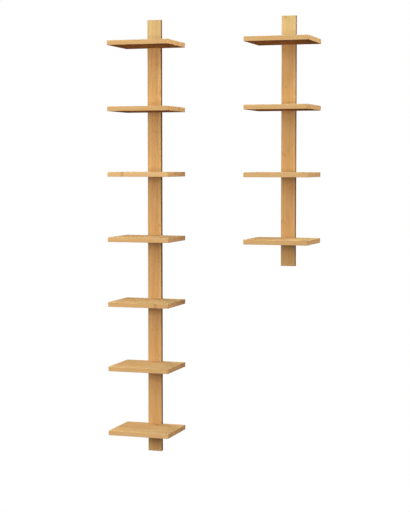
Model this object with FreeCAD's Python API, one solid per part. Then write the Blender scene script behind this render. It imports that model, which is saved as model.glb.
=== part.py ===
import FreeCAD, Part
import os

# A set of two wall shelves, a tall column and a short one. Each column is one upright spine,
# with boards housed into its front and held by screws from behind.
# Frame: the wall is the plane y = 0, with +Y into the wall, +X to the right and +Z up.
# The origin is on the wall, at the middle of the tall spine's back.

# Columns
TALL_BOARD_COUNT = 7
SHORT_BOARD_COUNT = 4
COLUMN_SPACING = 542.0  # from one spine's centre line to the other's
SHELF_PITCH = 250.0  # from one board's middle to the next one's
SPINE_OVERHANG = 100.0  # from an end board's middle to the spine's end

# Spine, a flat upright batten
SPINE_WIDTH = 56.0
SPINE_THICKNESS = 16.0
SPINE_EASE = 1.0  # radius on its edges
HOUSING_DEPTH = 5.0  # groove across the front that takes a board

# Boards
BOARD_WIDTH = 245.0
BOARD_DEPTH = 204.5
BOARD_THICKNESS = 18.0
BOARD_EASE = 1.2  # radius on its edges
WALL_RELIEF = 0.5  # the boards stop this short of the wall, so that the spine seats first
BOARD_CLEARANCE = 0.1  # above and below a board in its housing
NOTCH_CLEARANCE = 0.2  # each side of the spine in a board's notch

# Countersunk screws that hold a board, driven from behind
BOARD_SCREW_SPACING = 30.0
BOARD_SCREW_DIAMETER = 4.0
BOARD_SCREW_LENGTH = 45.0
BOARD_SCREW_HEAD = 8.0

# Keyhole hanger, a steel plate let into the spine's back near each end
PLATE_LENGTH = 50.0
PLATE_WIDTH = 22.0
PLATE_THICKNESS = 2.0
PLATE_SINK = 0.1  # how far the plate lies below the spine's back
PLATE_CLEARANCE = 0.2
KEY_ENTRY_DIAMETER = 10.4  # passes a wall screw's head
KEY_SLOT_WIDTH = 5.2  # takes the wall screw's shank
KEY_LIFT = 12.0  # from the entry up to where the shank hangs
HEAD_POCKET_DEPTH = 6.0  # room in front of the plate for the wall screw's head
HEAD_POCKET_MARGIN = 0.8  # around the entry, on the radius

# Countersunk screws that hold a hanger plate
PLATE_SCREW_SPACING = 38.0
PLATE_SCREW_DIAMETER = 3.0
PLATE_SCREW_LENGTH = 10.0
PLATE_SCREW_HEAD = 6.0

# What both kinds of screw share
SCREW_SINK = 0.3  # how far a head lies below the face around it
HEAD_RIM_HEIGHT = 0.4  # straight rim above the 90 degree cone
THREAD_CLEARANCE = 0.03  # on the radius
SHANK_CLEARANCE = 0.25  # on the radius, where a screw passes freely through the spine
POINT_RATIO = 1.0  # in thread diameters
DRIVE_WIDTH_RATIO = 0.13  # the cross recess's arms, in head diameters
DRIVE_SPAN_RATIO = 0.55
DRIVE_DEPTH_RATIO = 0.24

OVERCUT = 1.0  # cutters run this far past the faces that they open
EASE_LIMIT_RATIO = 0.45  # an edge's radius stays under this share of the thinnest side

TOP_Z = (TALL_BOARD_COUNT - 1) * SHELF_PITCH / 2 + SPINE_OVERHANG  # both columns end level
HANGER_INSET = SPINE_OVERHANG / 2  # a hanger sits halfway along the spine's bare end
HOUSING_FLOOR_Y = HOUSING_DEPTH - SPINE_THICKNESS
PLATE_BACK_Y = -PLATE_SINK
PLATE_FRONT_Y = PLATE_BACK_Y - PLATE_THICKNESS
POCKET_FLOOR_Y = PLATE_FRONT_Y - HEAD_POCKET_DEPTH

FORWARD = FreeCAD.Vector(0, -1, 0)
BOARD_SCREW = (BOARD_SCREW_DIAMETER, BOARD_SCREW_LENGTH, BOARD_SCREW_HEAD, -SCREW_SINK)
PLATE_SCREW = (PLATE_SCREW_DIAMETER, PLATE_SCREW_LENGTH, PLATE_SCREW_HEAD, PLATE_BACK_Y - SCREW_SINK)


def block(low, high):
    """A plain block from its low corner to its high corner."""
    sides = [b - a for a, b in zip(low, high)]
    return Part.makeBox(*sides, FreeCAD.Vector(*low))


def eased_block(low, high, radius):
    """A block with every edge rounded."""
    plain = block(low, high)
    limit = EASE_LIMIT_RATIO * min(b - a for a, b in zip(low, high))
    return plain.makeFillet(min(radius, limit), plain.Edges)


def round_hole(radius, z, back_y, front_y):
    """A cylinder along Y on the centre line, for a round hole."""
    return Part.makeCylinder(radius, back_y - front_y, FreeCAD.Vector(0, back_y, z), FORWARD)


def upright_slot(radius, low_z, high_z, back_y, front_y):
    """A round-ended bar on the centre line between two heights, from its back to its front."""
    ends = [round_hole(radius, z, back_y, front_y) for z in (low_z, high_z)]
    middle = block((-radius, front_y, low_z), (radius, back_y, high_z))
    return middle.fuse(ends).removeSplitter()


def turned(outline, x, face_y, z):
    """Turns (radius, distance) points about an axis along Y, with distance counted forward from the face."""
    points = [FreeCAD.Vector(radius, -distance, 0) for radius, distance in outline]
    half = Part.Face(Part.makePolygon(points + points[:1]))
    solid = half.revolve(FreeCAD.Vector(), FORWARD, 360)
    solid.translate(FreeCAD.Vector(x, face_y, z))
    return solid


def screw_outline(diameter, length, head, grow):
    """Half of a countersunk screw's outline, from the rim of its head to its point."""
    rim = head / 2 + grow
    shank = diameter / 2 + grow
    cone_end = HEAD_RIM_HEIGHT + rim - shank
    point_start = length - POINT_RATIO * diameter
    return [(rim, HEAD_RIM_HEIGHT), (shank, cone_end), (shank, point_start), (0, length + grow)]


def screw(kind, x, z):
    """A countersunk screw that points forward, with a cross recess in its head."""
    diameter, length, head, face_y = kind
    solid = turned([(0, 0), (head / 2, 0)] + screw_outline(diameter, length, head, 0), x, face_y, z)
    span = DRIVE_SPAN_RATIO * head / 2
    width = DRIVE_WIDTH_RATIO * head / 2
    floor_y = face_y - DRIVE_DEPTH_RATIO * head
    for dx, dz in ((span, width), (width, span)):
        solid = solid.cut(block((x - dx, floor_y, z - dz), (x + dx, face_y + OVERCUT, z + dz)))
    return solid


def screw_seat(kind, x, z):
    """The hole that a screw sits in: its own shape with the thread's clearance, open at the back."""
    diameter, length, head, face_y = kind
    mouth = -SCREW_SINK - OVERCUT
    rim = head / 2 + THREAD_CLEARANCE
    outline = [(0, mouth), (rim, mouth)] + screw_outline(diameter, length, head, THREAD_CLEARANCE)
    return turned(outline, x, face_y, z)


def board_screw_places(board_z):
    """Where one board's two screws are, as (x, z)."""
    return [(side * BOARD_SCREW_SPACING / 2, board_z) for side in (-1, 1)]


def plate_screw_places(hanger_z):
    """Where one hanger's two screws are, as (x, z)."""
    return [(0, hanger_z + side * PLATE_SCREW_SPACING / 2) for side in (-1, 1)]


def board(z):
    """A shelf board, notched at the back to go round the spine, with its screws' pilot holes."""
    low = (-BOARD_WIDTH / 2, -WALL_RELIEF - BOARD_DEPTH, z - BOARD_THICKNESS / 2)
    high = (BOARD_WIDTH / 2, -WALL_RELIEF, z + BOARD_THICKNESS / 2)
    side = SPINE_WIDTH / 2 + NOTCH_CLEARANCE
    notch = block((-side, HOUSING_FLOOR_Y, low[2] - OVERCUT), (side, OVERCUT, high[2] + OVERCUT))
    pilots = [screw_seat(BOARD_SCREW, *place) for place in board_screw_places(z)]
    return eased_block(low, high, BOARD_EASE).cut([notch] + pilots)


def board_housing(z):
    """What the spine loses to one board: the groove across its front and two screws' passages."""
    side = SPINE_WIDTH / 2 + OVERCUT
    rise = BOARD_THICKNESS / 2 + BOARD_CLEARANCE
    groove = block((-side, -SPINE_THICKNESS - OVERCUT, z - rise), (side, HOUSING_FLOOR_Y, z + rise))
    cutters = [groove]
    for x, screw_z in board_screw_places(z):
        passage = round_hole(BOARD_SCREW_DIAMETER / 2 + SHANK_CLEARANCE, screw_z, OVERCUT, HOUSING_FLOOR_Y)
        passage.translate(FreeCAD.Vector(x, 0, 0))
        cutters += [passage, screw_seat(BOARD_SCREW, x, screw_z)]
    return cutters


def plate_form(z, grow, back_y):
    """The hanger plate's round-ended form, grown all round, from the given back to its own front."""
    reach = (PLATE_LENGTH - PLATE_WIDTH) / 2
    return upright_slot(PLATE_WIDTH / 2 + grow, z - reach, z + reach, back_y, PLATE_FRONT_Y)


def keyhole_slot(z, radius, front_y):
    """The run from a keyhole's entry up to where the shank hangs, cut in from behind."""
    return upright_slot(radius, z - KEY_LIFT / 2, z + KEY_LIFT / 2, OVERCUT, front_y)


def hanger(z):
    """A keyhole plate: a wall screw's head enters low, and its shank hangs at the top of the slot."""
    front_y = PLATE_FRONT_Y - OVERCUT
    slot = keyhole_slot(z, KEY_SLOT_WIDTH / 2, front_y)
    entry = round_hole(KEY_ENTRY_DIAMETER / 2, z - KEY_LIFT / 2, OVERCUT, front_y)
    seats = [screw_seat(PLATE_SCREW, *place) for place in plate_screw_places(z)]
    return plate_form(z, 0, PLATE_BACK_Y).cut([slot, entry] + seats)


def hanger_recess(z):
    """What the spine loses to one hanger: the plate's seat, the head's pocket and two pilot holes."""
    seat = plate_form(z, PLATE_CLEARANCE, OVERCUT)
    pocket = keyhole_slot(z, KEY_ENTRY_DIAMETER / 2 + HEAD_POCKET_MARGIN, POCKET_FLOOR_Y)
    return [seat, pocket] + [screw_seat(PLATE_SCREW, *place) for place in plate_screw_places(z)]


def spine(low_z, board_heights, hanger_heights):
    """The upright: a batten with a housing for each board and a recess for each hanger."""
    low = (-SPINE_WIDTH / 2, -SPINE_THICKNESS, low_z)
    high = (SPINE_WIDTH / 2, 0, TOP_Z)
    cutters = []
    for z in board_heights:
        cutters += board_housing(z)
    for z in hanger_heights:
        cutters += hanger_recess(z)
    return eased_block(low, high, SPINE_EASE).cut(cutters)


def column(name, x, board_count):
    """All the pieces of one column, by name, with its centre line at x."""
    heights = [TOP_Z - SPINE_OVERHANG - number * SHELF_PITCH for number in range(board_count)]
    low_z = heights[-1] - SPINE_OVERHANG
    hangers = {"upper": TOP_Z - HANGER_INSET, "lower": low_z + HANGER_INSET}

    pieces = {f"{name}_spine": spine(low_z, heights, hangers.values())}
    for number, z in enumerate(heights, 1):
        pieces[f"{name}_board_{number}"] = board(z)
    for end, z in hangers.items():
        pieces[f"{name}_{end}_hanger"] = hanger(z)

    board_screws = [screw(BOARD_SCREW, *place) for z in heights for place in board_screw_places(z)]
    pieces[f"{name}_board_screws"] = Part.makeCompound(board_screws)
    plate_screws = [screw(PLATE_SCREW, *place) for z in hangers.values() for place in plate_screw_places(z)]
    pieces[f"{name}_hanger_screws"] = Part.makeCompound(plate_screws)

    for shape in pieces.values():
        shape.translate(FreeCAD.Vector(x, 0, 0))
    return pieces


os.makedirs("parts", exist_ok=True)
shelves = column("tall", 0, TALL_BOARD_COUNT) | column("short", COLUMN_SPACING, SHORT_BOARD_COUNT)
for node, shape in shelves.items():
    print(f"{node}: {len(shape.Solids)} solids, valid {shape.isValid()}, {shape.Volume / 1000:.2f} cm3")
    shape.exportStep(f"parts/{node}.step")
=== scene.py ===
import math

import bpy
import numpy as np
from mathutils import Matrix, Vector


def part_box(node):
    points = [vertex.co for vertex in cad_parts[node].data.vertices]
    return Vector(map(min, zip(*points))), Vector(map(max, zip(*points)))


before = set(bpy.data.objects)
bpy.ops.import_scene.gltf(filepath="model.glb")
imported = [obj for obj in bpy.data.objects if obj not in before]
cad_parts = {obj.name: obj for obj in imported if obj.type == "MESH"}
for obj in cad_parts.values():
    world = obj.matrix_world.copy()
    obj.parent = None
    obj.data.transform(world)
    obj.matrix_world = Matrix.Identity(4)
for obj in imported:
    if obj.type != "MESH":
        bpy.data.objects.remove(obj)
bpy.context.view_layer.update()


# Spines: the two flat uprights that hang on the wall and carry the boards.
# Each is a batten of side-pressed bamboo, narrow strips glued edge to edge along its length,
# planed, with eased arrises, and finished with a clear matt lacquer.

STRIP_WIDTH = 0.0058            # one bamboo strip, seen on its narrow side
STRIPS_PER_CANE = 5             # neighbours split from one cane, whose knuckles lie nearly level
STRIPS_PER_SEED = 7.31          # how many strips lie between the cuts of two pieces
SHIFT_PER_SEED = 0.37           # how far apart along the fibres two pieces are cut
SHIFT_PER_STRIP = 0.05          # how far apart in the fibres two strips are cut

# Marks in each metre: along the fibres, across the strips, and through the piece.
FIBRES_PER_METRE = (26.0, 1500.0, 1500.0)
WISPS_PER_METRE = (9.0, 330.0, 330.0)
CLOUDS_PER_METRE = (5.0, 60.0, 25.0)

# The tone goes from 0, the densest fibres, to 1, the palest pith, and these spread it.
BAMBOO_TONES = (
    (0.00, (0.400, 0.185, 0.052, 1.0)),
    (0.36, (0.575, 0.330, 0.120, 1.0)),
    (0.62, (0.695, 0.415, 0.165, 1.0)),
    (1.00, (0.800, 0.560, 0.275, 1.0)),
)
STRIP_SPREAD = 0.18
LEAN_SPREAD = 0.12              # from one side of a strip to the other
FIBRE_SPREAD = 0.55
WISP_SPREAD = 0.42
CLOUD_SPREAD = 0.30

GLUE_LINE = 0.045               # half a glue line, as a share of the strip
GLUE_SHADE = 0.28
KNUCKLE_SPACING = 0.26          # from one knuckle of the cane to the next
KNUCKLE_SLIP = 0.11             # how far a cane's strips slip past each other, in spacings
KNUCKLE_WOBBLE = 0.006          # how far a knuckle wanders along the fibres
KNUCKLE_RING = (0.0028, 0.0008)     # half the dark ring at a knuckle, to its edge and full
KNUCKLE_STAIN = (0.011, 0.001)      # how far its stain reaches along the strip, likewise
RING_SHARE = 0.45
STAIN_SHARE = 0.55
KNUCKLE_RARITY = 1.6            # above 1, fewer knuckles are dark than faint
KNUCKLE_SHADE = 0.62
KNUCKLE_BROWN = (0.380, 0.160, 0.048, 1.0)

# A face's own look starts at the first depth below it and is full at the second.
END_DEPTH = (0.0010, 0.0002)
FACE_DEPTH = (0.0010, 0.0003)
END_GRAIN_TINT = (1.090, 0.970, 0.950, 1.0)
# Painted shade: darkens the spines' long edges, which lie in shade between the boards.
PAINTED_EDGE_SHADE_TINT = (0.460, 0.390, 0.330, 1.0)
# Painted shade: darkens the bare face, a board's underside and a spine's back, where little light falls.
PAINTED_RAW_FACE_SHADE_TINT = (0.755, 0.563, 0.560, 1.0)
# Painted light: pales the spines' ends that stand clear above the top board, where light falls unshaded by
# the boards.
PAINTED_TOP_LIGHT_TINT = (0.985, 1.170, 1.350, 1.0)
PAINTED_TOP_LIGHT_FADE = 0.003
ARRIS_DEPTH = (0.0020, 0.0004)
ARRIS_WISPS = (0.30, 0.62)      # the wisps at which an arris starts to be worn, and is so fully
# Worn arrises, paler in patches, which also paint a highlight along the edges.
ARRIS_WEAR_AND_HIGHLIGHT_SHARE = 0.28
WORN_ARRIS_AND_HIGHLIGHT = (0.800, 0.620, 0.350, 1.0)

# Roughness of the lacquer, and what each of these adds to it.
LACQUER_ROUGHNESS = 0.62
FIBRE_ROUGHNESS = 0.16
CLOUD_ROUGHNESS = 0.10
END_ROUGHNESS = 0.12
ARRIS_ROUGHNESS = 0.10
RAW_ROUGHNESS = 0.24

# Shares of the relief.
FIBRE_RELIEF = 0.65
WISP_RELIEF = 0.35
GLUE_RELIEF = -0.5
KNUCKLE_RELIEF = 0.6

spine_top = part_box("tall_spine")[1].z
top_board_low, top_board_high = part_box("tall_board_1")
CLEAR_END = spine_top - (top_board_low.z + top_board_high.z) / 2


class Recipe:
    """One node tree written as formulas: each call adds a node and hands back its output."""

    def __init__(self, tree):
        self.tree = tree

    def node(self, kind, **settings):
        made = self.tree.nodes.new(kind)
        for name, value in settings.items():
            setattr(made, name, value)
        return made

    def feed(self, socket, value):
        if isinstance(value, bpy.types.NodeSocket):
            self.tree.links.new(value, socket)
        else:
            socket.default_value = value

    def math(self, operation, *terms):
        made = self.node("ShaderNodeMath", operation=operation)
        for socket, term in zip(made.inputs, terms):
            self.feed(socket, term)
        return made.outputs[0]

    def parts(self, vector):
        made = self.node("ShaderNodeSeparateXYZ")
        self.feed(made.inputs[0], vector)
        return made.outputs[0], made.outputs[1], made.outputs[2]

    def vector(self, x, y, z):
        made = self.node("ShaderNodeCombineXYZ")
        for socket, term in zip(made.inputs, (x, y, z)):
            self.feed(socket, term)
        return made.outputs[0]

    def vectors(self, operation, first, second):
        made = self.node("ShaderNodeVectorMath", operation=operation)
        self.feed(made.inputs[0], first)
        self.feed(made.inputs[1], second)
        return made.outputs[0]

    def fade(self, value, start, end):
        """Goes smoothly from 0 at start to 1 at end."""
        made = self.node("ShaderNodeMapRange", interpolation_type="SMOOTHSTEP")
        for name, term in (("Value", value), ("From Min", start), ("From Max", end)):
            self.feed(made.inputs[name], term)
        return made.outputs[0]

    def blend(self, factor, first, second, manner="MIX"):
        made = self.node("ShaderNodeMix", data_type="RGBA", blend_type=manner)
        for place, term in ((0, factor), (6, first), (7, second)):
            self.feed(made.inputs[place], term)
        return made.outputs[2]

    def tinted(self, share, colour, tint):
        """The colour times the tint, in the given share."""
        return self.blend(share, colour, self.blend(1.0, colour, tint, "MULTIPLY"))

    def noise(self, vector, marks_per_metre, detail, roughness):
        """Noise from 0 to 1 with so many marks in each metre of the vector's three ways."""
        made = self.node("ShaderNodeTexNoise")
        self.feed(made.inputs["Vector"], self.vectors("MULTIPLY", vector, marks_per_metre))
        for name, term in (("Scale", 1.0), ("Detail", detail), ("Roughness", roughness)):
            self.feed(made.inputs[name], term)
        return made.outputs[0]

    def chance(self, vector):
        """Three chance numbers from 0 to 1, the same wherever the vector is the same."""
        made = self.node("ShaderNodeTexWhiteNoise", noise_dimensions="3D")
        self.feed(made.inputs["Vector"], vector)
        return self.parts(made.outputs["Color"])

    def tones(self, value, stops):
        made = self.node("ShaderNodeValToRGB")
        ramp = made.color_ramp
        while len(ramp.elements) < len(stops):
            ramp.elements.new(1.0)
        for element, (place, colour) in zip(ramp.elements, stops):
            element.position = place
            element.color = colour
        self.feed(made.inputs[0], value)
        return made.outputs[0]


FINISH_SOCKETS = (
    ("Color", "NodeSocketColor"),
    ("Roughness", "NodeSocketFloat"),
    ("Height", "NodeSocketFloat"),
)


def new_finish(name, inputs):
    """An empty group for a finish, its recipe, and its inner input and output nodes."""
    group = bpy.data.node_groups.new(name, "ShaderNodeTree")
    for label, kind in inputs:
        group.interface.new_socket(label, in_out="INPUT", socket_type=kind)
    for label, kind in FINISH_SOCKETS:
        group.interface.new_socket(label, in_out="OUTPUT", socket_type=kind)
    recipe = Recipe(group)
    return group, recipe, recipe.node("NodeGroupInput"), recipe.node("NodeGroupOutput")


def side_pressed_bamboo():
    """Solid bamboo, cut from strips that lie side by side.

    Place is metres from the piece's middle: x along the fibres, y across the strips, z through.
    A strip's number is the whole part of y over its width, and gives its tone by chance.
    Fibres are a noise drawn out along x, so they show as streaks on the faces and dots on the ends.
    Knuckles are dark rings in a soft stain that come back at one spacing along a strip.
    Their start is by chance for each cane, and a little off it for each of the cane's strips.
    Arrises lie where the second nearest of the piece's faces is close; worn patches pale them, and the
    paling also paints a highlight along the edges.
    Painted Edge Shade is the share of painted shade, a darker brown, on the two long edges, at the ends of
    y.
    Painted Top Light is the share of painted light, paler and yellower, on the end at high x that stands
    clear above the top board, but for the face at the lowest z.
    Raw Face And Shade is the share of the face at the lowest z, which has no lacquer: it is rougher, and
    darker as painted shade.
    """
    group, r, source, sink = new_finish("side_pressed_bamboo", (
        ("Place", "NodeSocketVector"),
        ("Half Size", "NodeSocketVector"),
        ("Seed", "NodeSocketFloat"),
        ("Tone", "NodeSocketFloat"),
        ("Skin", "NodeSocketFloat"),
        ("Raw", "NodeSocketFloat"),
        ("Painted Top Light", "NodeSocketFloat"),
    ))
    place = source.outputs["Place"]
    seed = source.outputs["Seed"]
    along, across, through = r.parts(place)
    half_along, half_across, half_through = r.parts(source.outputs["Half Size"])

    first_strip = r.math("MULTIPLY", seed, STRIPS_PER_SEED)
    strip = r.math("MULTIPLY_ADD", across, 1.0 / STRIP_WIDTH, first_strip)
    number = r.math("FLOOR", strip)
    inside = r.math("FRACT", strip)
    tone_luck, start_luck, turn_luck = r.chance(r.vector(number, seed, 0.5))

    piece_shift = r.math("MULTIPLY", seed, SHIFT_PER_SEED)
    strip_shift = r.math("MULTIPLY", number, SHIFT_PER_STRIP)
    cut = r.vectors("ADD", place, r.vector(piece_shift, 0.0, strip_shift))
    fibres = r.noise(cut, FIBRES_PER_METRE, detail=2.0, roughness=0.6)
    wisps = r.noise(cut, WISPS_PER_METRE, detail=2.0, roughness=0.55)
    cloud = r.noise(cut, CLOUDS_PER_METRE, detail=2.0, roughness=0.5)

    turn = r.math("SIGN", r.math("SUBTRACT", turn_luck, 0.5))
    lean = r.math("MULTIPLY", r.math("SUBTRACT", inside, 0.5), turn)
    tone = r.math("MULTIPLY_ADD", r.math("SUBTRACT", tone_luck, 0.5), STRIP_SPREAD, source.outputs["Tone"])
    tone = r.math("MULTIPLY_ADD", lean, LEAN_SPREAD, tone)
    tone = r.math("MULTIPLY_ADD", r.math("SUBTRACT", fibres, 0.5), FIBRE_SPREAD, tone)
    tone = r.math("MULTIPLY_ADD", r.math("SUBTRACT", wisps, 0.5), WISP_SPREAD, tone)
    tone = r.math("MULTIPLY_ADD", r.math("SUBTRACT", cloud, 0.5), CLOUD_SPREAD, tone)
    colour = r.tones(tone, BAMBOO_TONES)

    edge_of_strip = r.math("MINIMUM", inside, r.math("SUBTRACT", 1.0, inside))
    glue = r.fade(edge_of_strip, GLUE_LINE, 0.0)
    colour = r.blend(r.math("MULTIPLY", glue, GLUE_SHADE), colour, KNUCKLE_BROWN)

    cane = r.math("FLOOR", r.math("DIVIDE", number, STRIPS_PER_CANE))
    cane_luck = r.chance(r.vector(cane, seed, 2.5))[0]
    start = r.math("MULTIPLY_ADD", start_luck, KNUCKLE_SLIP, cane_luck)
    step = r.math("MULTIPLY_ADD", along, 1.0 / KNUCKLE_SPACING, start)
    which = r.math("FLOOR", step)
    off = r.math("ABSOLUTE", r.math("SUBTRACT", r.math("FRACT", step), 0.5))
    off = r.math("MULTIPLY", off, KNUCKLE_SPACING)
    off = r.math("MULTIPLY_ADD", r.math("SUBTRACT", wisps, 0.5), KNUCKLE_WOBBLE, off)
    stain_luck = r.chance(r.vector(number, which, seed))[0]
    stain = r.math("MULTIPLY", r.fade(off, *KNUCKLE_STAIN), STAIN_SHARE)
    ring = r.math("MULTIPLY_ADD", r.fade(off, *KNUCKLE_RING), RING_SHARE, stain)
    knuckle = r.math("MULTIPLY", ring, r.math("POWER", stain_luck, KNUCKLE_RARITY))
    colour = r.blend(r.math("MULTIPLY", knuckle, KNUCKLE_SHADE), colour, KNUCKLE_BROWN)

    to_end = r.math("SUBTRACT", half_along, r.math("ABSOLUTE", along))
    to_side = r.math("SUBTRACT", half_across, r.math("ABSOLUTE", across))
    to_face = r.math("SUBTRACT", half_through, r.math("ABSOLUTE", through))
    end_grain = r.fade(to_end, *END_DEPTH)
    colour = r.tinted(end_grain, colour, END_GRAIN_TINT)

    # Painted shade on the long edges of a spine.
    painted_edge_shade = r.math("MULTIPLY", r.fade(to_side, *FACE_DEPTH), source.outputs["Skin"])
    colour = r.tinted(painted_edge_shade, colour, PAINTED_EDGE_SHADE_TINT)

    lowest_face = r.fade(r.math("ADD", half_through, through), *FACE_DEPTH)
    # Painted light on the spine's end above the top board.
    from_high_end = r.math("SUBTRACT", half_along, along)
    clear_end = r.fade(from_high_end, CLEAR_END + PAINTED_TOP_LIGHT_FADE, CLEAR_END - PAINTED_TOP_LIGHT_FADE)
    painted_top_light = r.math("MULTIPLY", clear_end, r.math("SUBTRACT", 1.0, lowest_face))
    painted_top_light = r.math("MULTIPLY", painted_top_light, source.outputs["Painted Top Light"])
    colour = r.tinted(painted_top_light, colour, PAINTED_TOP_LIGHT_TINT)

    # Bare face: rougher, and darker as painted shade.
    raw_face_and_shade = r.math("MULTIPLY", lowest_face, source.outputs["Raw"])
    colour = r.tinted(raw_face_and_shade, colour, PAINTED_RAW_FACE_SHADE_TINT)

    nearer = r.math("MINIMUM", to_end, to_side)
    farther = r.math("MAXIMUM", to_end, to_side)
    second = r.math("MAXIMUM", nearer, r.math("MINIMUM", farther, to_face))
    # Wear on the arrises, which partly paints their highlight.
    arris_wear_and_highlight = r.math("MULTIPLY", r.fade(second, *ARRIS_DEPTH), r.fade(wisps, *ARRIS_WISPS))
    colour = r.blend(r.math("MULTIPLY", arris_wear_and_highlight, ARRIS_WEAR_AND_HIGHLIGHT_SHARE), colour, WORN_ARRIS_AND_HIGHLIGHT)

    rough = r.math("MULTIPLY_ADD", fibres, FIBRE_ROUGHNESS, LACQUER_ROUGHNESS)
    rough = r.math("MULTIPLY_ADD", cloud, CLOUD_ROUGHNESS, rough)
    rough = r.math("MULTIPLY_ADD", end_grain, END_ROUGHNESS, rough)
    rough = r.math("MULTIPLY_ADD", arris_wear_and_highlight, ARRIS_ROUGHNESS, rough)
    rough = r.math("MULTIPLY_ADD", raw_face_and_shade, RAW_ROUGHNESS, rough)

    height = r.math("MULTIPLY", fibres, FIBRE_RELIEF)
    height = r.math("MULTIPLY_ADD", wisps, WISP_RELIEF, height)
    height = r.math("MULTIPLY_ADD", glue, GLUE_RELIEF, height)
    height = r.math("MULTIPLY_ADD", knuckle, KNUCKLE_RELIEF, height)

    for name, value in (("Color", colour), ("Roughness", rough), ("Height", height)):
        r.feed(sink.inputs[name], value)
    return group


bamboo_group = side_pressed_bamboo()


def empty_recipe(owner):
    """The recipe of a material or a world whose node tree is empty so far."""
    owner.use_nodes = True
    owner.node_tree.nodes.clear()
    return Recipe(owner.node_tree)


def place_from_middle(recipe, node):
    """Metres from the middle of a node's box, and the box's half size."""
    low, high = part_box(node)
    coordinates = recipe.node("ShaderNodeTexCoord")
    mapping = recipe.node("ShaderNodeMapping")
    recipe.feed(mapping.inputs["Vector"], coordinates.outputs["Object"])
    recipe.feed(mapping.inputs["Location"], -(low + high) / 2)
    return mapping.outputs["Vector"], (high - low) / 2


def finished(recipe, finish, bump_strength, bump_distance):
    """A Principled shader that shows a finish, joined to the material's output."""
    shader = recipe.node("ShaderNodeBsdfPrincipled")
    output = recipe.node("ShaderNodeOutputMaterial")
    recipe.feed(output.inputs["Surface"], shader.outputs["BSDF"])
    bump = recipe.node("ShaderNodeBump")
    recipe.feed(bump.inputs["Strength"], bump_strength)
    recipe.feed(bump.inputs["Distance"], bump_distance)
    recipe.feed(bump.inputs["Height"], finish.outputs["Height"])
    recipe.feed(shader.inputs["Base Color"], finish.outputs["Color"])
    recipe.feed(shader.inputs["Roughness"], finish.outputs["Roughness"])
    recipe.feed(shader.inputs["Normal"], bump.outputs["Normal"])
    return shader


def dress(node, material):
    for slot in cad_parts[node].material_slots:
        slot.material = material


GRAIN_BUMP = 0.35
GRAIN_DEPTH = 0.00015
MATT_SPECULAR = 0.03
# Painted shade and light: the spines take a darker tone than the boards for the shade between the boards,
# darker long edges and back, and a paled end above the top board.
SPINE_FINISH_AND_PAINTED_LIGHT = {"Tone": 0.37, "Skin": 1.0, "Raw": 0.25, "Painted Top Light": 1.0}


def lacquered_bamboo(node, seed, finish, upright):
    """Dresses one CAD node in bamboo whose fibres run up it, or from its left to its right.

    The raw face, rougher and darkened as painted shade, is an upright's back and a board's underside.
    """
    material = bpy.data.materials.new("bamboo_" + node)
    r = empty_recipe(material)
    place, half = place_from_middle(r, node)
    if upright:
        x, y, z = r.parts(place)
        place = r.vector(z, x, r.math("MULTIPLY", y, -1.0))
        half = Vector((half.z, half.x, half.y))
    grain = r.node("ShaderNodeGroup", node_tree=bamboo_group)
    r.feed(grain.inputs["Place"], place)
    r.feed(grain.inputs["Half Size"], half)
    r.feed(grain.inputs["Seed"], seed)
    for name, value in finish.items():
        r.feed(grain.inputs[name], value)
    shader = finished(r, grain, GRAIN_BUMP, GRAIN_DEPTH)
    shader.inputs["Specular IOR Level"].default_value = MATT_SPECULAR
    dress(node, material)


lacquered_bamboo("tall_spine", 1.0, SPINE_FINISH_AND_PAINTED_LIGHT, upright=True)
lacquered_bamboo("short_spine", 2.0, SPINE_FINISH_AND_PAINTED_LIGHT, upright=True)


# Boards: eleven square shelves, notched at the back over their spine and screwed through it.
# They are planks of the same side-pressed bamboo with the fibres from left to right,
# so the front edge shows one strip's flat side, and the left and right edges show end grain.

# A board's underside is darkened as painted shade.
BOARD_FINISH_AND_PAINTED_SHADE = {"Tone": 0.585, "Skin": 0.0, "Raw": 1.0, "Painted Top Light": 0.0}
FIRST_BOARD_SEED = 3.0

boards = [name for name in sorted(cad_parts) if "_board_" in name and not name.endswith("screws")]
for place_in_order, name in enumerate(boards):
    lacquered_bamboo(name, FIRST_BOARD_SEED + place_in_order, BOARD_FINISH_AND_PAINTED_SHADE, upright=False)


# Hangers: four keyhole plates let into the backs of the spines, one near each end.
# They are stamped from zinc-plated steel strip, with rolling lines along their length,
# and hook over screws in the wall.

ZINC = (0.620, 0.630, 0.640, 1.0)
ZINC_BRIGHT = (0.740, 0.750, 0.755, 1.0)
ZINC_DULL = (0.430, 0.435, 0.440, 1.0)
PATCHES_PER_METRE = (260.0, 260.0, 260.0)
SCRATCHES_PER_METRE = (120.0, 5200.0, 5200.0)
BRIGHT_PATCHES = (0.40, 0.72)       # the noise at which a patch starts, and is full
DULL_PATCHES = (0.46, 0.22)
DULL_SHARE = 0.7
BRIGHT_SCRATCHES = (0.55, 0.70)
SCRATCH_SHARE = 0.35
ZINC_ROUGHNESS = 0.20
PATCH_ROUGHNESS = 0.22
SCRATCH_ROUGHNESS = 0.12
SCRATCH_DEPTH = 0.00004
HANGER_BUMP = 0.30


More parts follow.
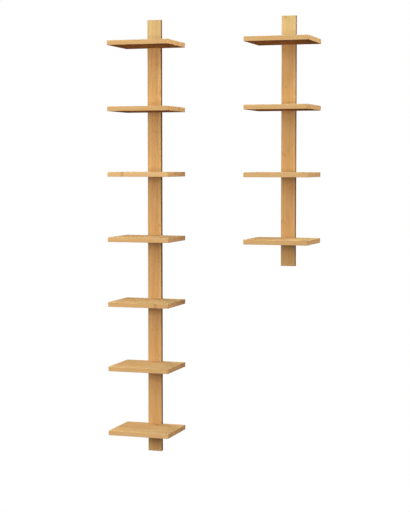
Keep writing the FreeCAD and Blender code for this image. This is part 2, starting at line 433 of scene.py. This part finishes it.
def zinc_plating():
    """Plated steel: clouded bright and dull patches, crossed by fine rolling scratches.

    Place is metres, x along the rolling.
    Patches are a slow noise, and scratches a noise drawn out along x.
    """
    group, r, source, sink = new_finish("zinc_plating", (("Place", "NodeSocketVector"),))
    place = source.outputs["Place"]
    patches = r.noise(place, PATCHES_PER_METRE, detail=3.0, roughness=0.6)
    scratches = r.noise(place, SCRATCHES_PER_METRE, detail=2.0, roughness=0.6)
    colour = r.blend(r.fade(patches, *BRIGHT_PATCHES), ZINC, ZINC_BRIGHT)
    dull = r.math("MULTIPLY", r.fade(patches, *DULL_PATCHES), DULL_SHARE)
    colour = r.blend(dull, colour, ZINC_DULL)
    scratched = r.math("MULTIPLY", r.fade(scratches, *BRIGHT_SCRATCHES), SCRATCH_SHARE)
    colour = r.blend(scratched, colour, ZINC_BRIGHT)
    rough = r.math("MULTIPLY_ADD", patches, PATCH_ROUGHNESS, ZINC_ROUGHNESS)
    rough = r.math("MULTIPLY_ADD", scratches, SCRATCH_ROUGHNESS, rough)
    for name, value in (("Color", colour), ("Roughness", rough), ("Height", scratches)):
        r.feed(sink.inputs[name], value)
    return group


zinc_group = zinc_plating()


def zinc_plated(node, bump_strength):
    """Dresses one CAD node in zinc-plated steel."""
    material = bpy.data.materials.new("zinc_" + node)
    r = empty_recipe(material)
    place, _ = place_from_middle(r, node)
    plating = r.node("ShaderNodeGroup", node_tree=zinc_group)
    r.feed(plating.inputs["Place"], place)
    shader = finished(r, plating, bump_strength, SCRATCH_DEPTH)
    shader.inputs["Metallic"].default_value = 1.0
    dress(node, material)


for name in sorted(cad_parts):
    if name.endswith("hanger"):
        zinc_plated(name, HANGER_BUMP)


# Screws: countersunk cross-head screws, two into each board from the back, two through each hanger.
# They are headed and rolled from steel wire and zinc plated.

SCREW_BUMP = 0.15

for name in sorted(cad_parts):
    if name.endswith("screws"):
        zinc_plated(name, SCREW_BUMP)


# Floor: a pale round of painted studio floor below the hanging shelf, which takes its shadow.
# It fades out at its rim, and throws little light back up on the undersides.

FLOOR_HEIGHT = -1.20
FLOOR_MIDDLE = (0.27, -0.75)
FLOOR_RADIUS = 1.10
FLOOR_RINGS = 12
FLOOR_SPOKES = 96
FADE_START = 0.55 * FLOOR_RADIUS
FADE_END = 0.98 * FLOOR_RADIUS
FLOOR_COLOUR = (0.92, 0.89, 0.87, 1.0)
FLOOR_BOUNCE = (0.06, 0.04, 0.03, 1.0)


def floor_round():
    """A flat disc: rings of points at even angles, from the middle out to the radius."""
    radius = np.linspace(0.0, FLOOR_RADIUS, FLOOR_RINGS)[1:, None]
    angle = np.linspace(0.0, 2 * np.pi, FLOOR_SPOKES, endpoint=False)[None, :]
    x = FLOOR_MIDDLE[0] + radius * np.cos(angle)
    y = FLOOR_MIDDLE[1] + radius * np.sin(angle)
    points = np.stack([x, y, np.full_like(x, FLOOR_HEIGHT)], axis=-1).reshape(-1, 3)
    points = np.vstack([[*FLOOR_MIDDLE, FLOOR_HEIGHT], points])
    here = np.arange(FLOOR_SPOKES)
    after = (here + 1) % FLOOR_SPOKES
    wedges = np.stack([np.zeros_like(here), 1 + here, 1 + after], axis=-1)
    inner = 1 + np.arange(FLOOR_RINGS - 2)[:, None] * FLOOR_SPOKES
    outer = inner + FLOOR_SPOKES
    quads = np.stack([inner + here, outer + here, outer + after, inner + after], axis=-1)
    mesh = bpy.data.meshes.new("floor")
    mesh.from_pydata(points.tolist(), [], wedges.tolist() + quads.reshape(-1, 4).tolist())
    mesh.update()
    return mesh


def shows_surround(recipe):
    """1 for the rays of the camera, of gloss and of glass, and 0 for those that light things."""
    rays = recipe.node("ShaderNodeLightPath")
    seen = recipe.math("MAXIMUM", rays.outputs["Is Camera Ray"], rays.outputs["Is Glossy Ray"])
    return recipe.math("MAXIMUM", seen, rays.outputs["Is Transmission Ray"])


floor = bpy.data.objects.new("floor", floor_round())
bpy.context.scene.collection.objects.link(floor)

floor_paint = bpy.data.materials.new("studio_floor")
r = empty_recipe(floor_paint)
paint = r.node("ShaderNodeBsdfDiffuse")
r.feed(paint.inputs["Color"], r.blend(shows_surround(r), FLOOR_BOUNCE, FLOOR_COLOUR))
clear = r.node("ShaderNodeBsdfTransparent")
x, y, z = r.parts(r.node("ShaderNodeTexCoord").outputs["Object"])
x = r.math("SUBTRACT", x, FLOOR_MIDDLE[0])
y = r.math("SUBTRACT", y, FLOOR_MIDDLE[1])
from_middle = r.math("SQRT", r.math("ADD", r.math("MULTIPLY", x, x), r.math("MULTIPLY", y, y)))
below = r.node("ShaderNodeNewGeometry").outputs["Backfacing"]
rim = r.node("ShaderNodeMixShader")
r.feed(rim.inputs[0], r.math("MAXIMUM", below, r.fade(from_middle, FADE_START, FADE_END)))
r.feed(rim.inputs[1], paint.outputs[0])
r.feed(rim.inputs[2], clear.outputs[0])
output = r.node("ShaderNodeOutputMaterial")
r.feed(output.inputs["Surface"], rim.outputs[0])
floor.data.materials.append(floor_paint)


# Light: soft boxes around the shelf, two at the front left, one high behind the left side,
# three at the right, and a long one behind that only gives light and is not seen in gloss.
# The white surround is for the camera and for gloss, and gives the shelf next to no light.

WHITE = (1.0, 1.0, 1.0, 1.0)
AMBIENT_ABOVE = (0.004, 0.004, 0.004, 1.0)
AMBIENT_BELOW = (0.002, 0.0015, 0.001, 1.0)
HORIZON = (-0.25, 0.35)         # the slope up at which the light from above starts, and is full
AIM = (0.27, -0.1, 0.0)         # the middle of the two columns
UPPER_AIM = (0.30, -0.1, 0.6)
LAMPS = (                       # name, place, aim, width, height, watts and colour
    ("front_left", (-2.59, -4.19, 0.35), AIM, 1.2, 1.2, 194.0, (0.99, 0.95, 1.0)),
    ("high_left", (-3.96, -5.14, 2.39), AIM, 2.0, 2.0, 149.0, (0.88, 0.98, 1.0)),
    ("left_behind", (-4.22, 3.04, 5.48), AIM, 3.0, 3.0, 294.0, (1.0, 0.97, 0.91)),
    ("high_right", (6.03, -2.20, 5.14), AIM, 3.0, 3.0, 98.0, (0.81, 0.90, 1.0)),
    ("right", (7.88, -1.44, 2.07), AIM, 3.0, 3.0, 256.0, (0.89, 0.88, 1.0)),
    ("upper_right", (1.60, -0.60, 2.40), UPPER_AIM, 1.0, 1.0, 50.0, (0.73, 0.92, 1.0)),
    ("behind", (0.27, 7.32, 1.30), AIM, 6.0, 1.0, 341.0, (1.0, 0.99, 1.0)),
)

world = bpy.data.worlds.new("studio")
bpy.context.scene.world = world
r = empty_recipe(world)
up = r.parts(r.node("ShaderNodeTexCoord").outputs["Generated"])[2]
ambient = r.blend(r.fade(up, *HORIZON), AMBIENT_BELOW, AMBIENT_ABOVE)
surround = r.node("ShaderNodeBackground")
r.feed(surround.inputs["Color"], r.blend(shows_surround(r), ambient, WHITE))
output = r.node("ShaderNodeOutputWorld")
r.feed(output.inputs["Surface"], surround.outputs[0])


def soft_lamp(name, place, aim, width, height, power, colour):
    """A soft box that faces its aim."""
    lamp = bpy.data.lights.new(name, "AREA")
    lamp.shape = "RECTANGLE"
    lamp.size = width
    lamp.size_y = height
    lamp.energy = power
    lamp.color = colour
    made = bpy.data.objects.new(name, lamp)
    bpy.context.scene.collection.objects.link(made)
    made.location = place
    made.rotation_euler = (Vector(aim) - Vector(place)).to_track_quat("-Z", "Y").to_euler()
    return made


lamps = {name: soft_lamp(name, *settings) for name, *settings in LAMPS}
lamps["behind"].visible_glossy = False


# Camera: a long lens at about eye height, a little to the right of the shelf, as in the photograph.
# Its place and turn come from the corners of the boards and spines, for a frame of 410 by 512.

FRAME_WIDTH, FRAME_HEIGHT = 410, 512
FOCAL_PIXELS = 1389.3
SENSOR_WIDTH = 36.0
CAMERA_PLACE = (1.8801, -5.1534, 0.2959)
CAMERA_TURN = 0.3145
CAMERA_TILT = 0.0673

lens = bpy.data.cameras.new("camera")
lens.sensor_fit = "AUTO"
lens.sensor_width = SENSOR_WIDTH
lens.lens = FOCAL_PIXELS * SENSOR_WIDTH / max(FRAME_WIDTH, FRAME_HEIGHT)
camera = bpy.data.objects.new("camera", lens)
bpy.context.scene.collection.objects.link(camera)
camera.location = CAMERA_PLACE
camera.rotation_euler = (math.pi / 2 - CAMERA_TILT, 0.0, CAMERA_TURN)
bpy.context.scene.camera = camera

bpy.context.scene.view_settings.view_transform = "Standard"
